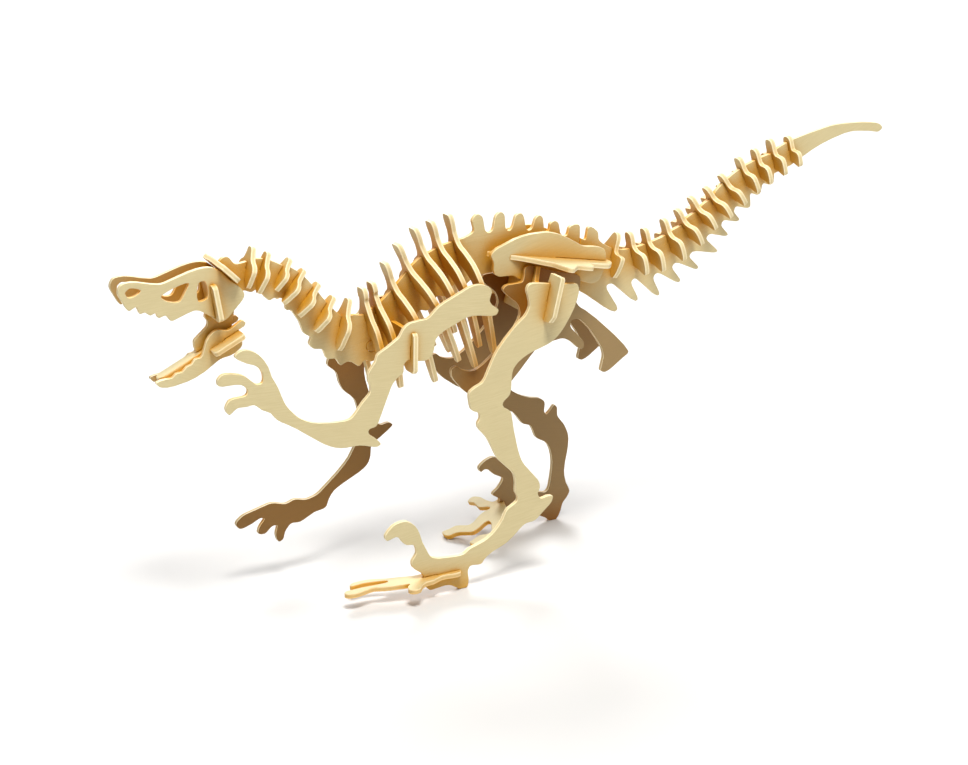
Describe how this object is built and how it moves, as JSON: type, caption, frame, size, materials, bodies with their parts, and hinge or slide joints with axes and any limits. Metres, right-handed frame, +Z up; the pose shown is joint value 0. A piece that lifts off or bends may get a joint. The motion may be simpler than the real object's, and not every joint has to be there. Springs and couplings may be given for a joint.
{
  "type": "wooden 3d jigsaw model",
  "caption": "Slot-together plywood skeleton of a running two-legged dinosaur with ribs, arms, claws and a long raised tail, standing on its feet.",
  "frame": {"origin": "on the floor plane, under the middle of the whole model's box; the middle plane of the spine is at y = -4.5 mm", "axes": "+Z up, +X from the head to the tail, -Y the animal's left side"},
  "size_m": [0.5028, 0.1069, 0.2449],
  "materials": {
    "plywood": "raw sanded three-ply, pale cream faces, slightly darker middle ply on the edges"
  },
  "bodies": {
    "root": {"skull_left": "plywood", "skull_right": "plywood", "jaw_left": "plywood", "jaw_right": "plywood", "jaw_floor": "plywood", "cheek_bar": "plywood", "skull_crest": "plywood", "neck_spine": "plywood", "back_spine": "plywood", "tail_spine": "plywood", "neck_vertebra_1": "plywood", "neck_vertebra_2": "plywood", "neck_vertebra_3": "plywood", "neck_vertebra_4": "plywood", "neck_vertebra_5": "plywood", "neck_vertebra_6": "plywood", "neck_vertebra_7": "plywood", "rib_1": "plywood", "rib_2": "plywood", "rib_3": "plywood", "rib_4": "plywood", "rib_5": "plywood", "rib_6": "plywood", "rib_7": "plywood", "shoulder_bar": "plywood", "arm_left": "plywood", "arm_right": "plywood", "ilium_left": "plywood", "ilium_right": "plywood", "pelvic_shelf": "plywood", "pelvis_left": "plywood", "pelvis_right": "plywood", "hip_bar": "plywood", "sacral_plate": "plywood", "tail_vertebra_1": "plywood", "tail_vertebra_2": "plywood", "tail_vertebra_3": "plywood", "tail_vertebra_4": "plywood", "tail_vertebra_5": "plywood", "tail_vertebra_6": "plywood", "tail_vertebra_7": "plywood", "tail_vertebra_8": "plywood", "tail_vertebra_9": "plywood", "tail_vertebra_10": "plywood", "tail_vertebra_11": "plywood", "leg_left": "plywood", "leg_right": "plywood", "foot_left": "plywood", "foot_right": "plywood"}
  },
  "joints": []
}
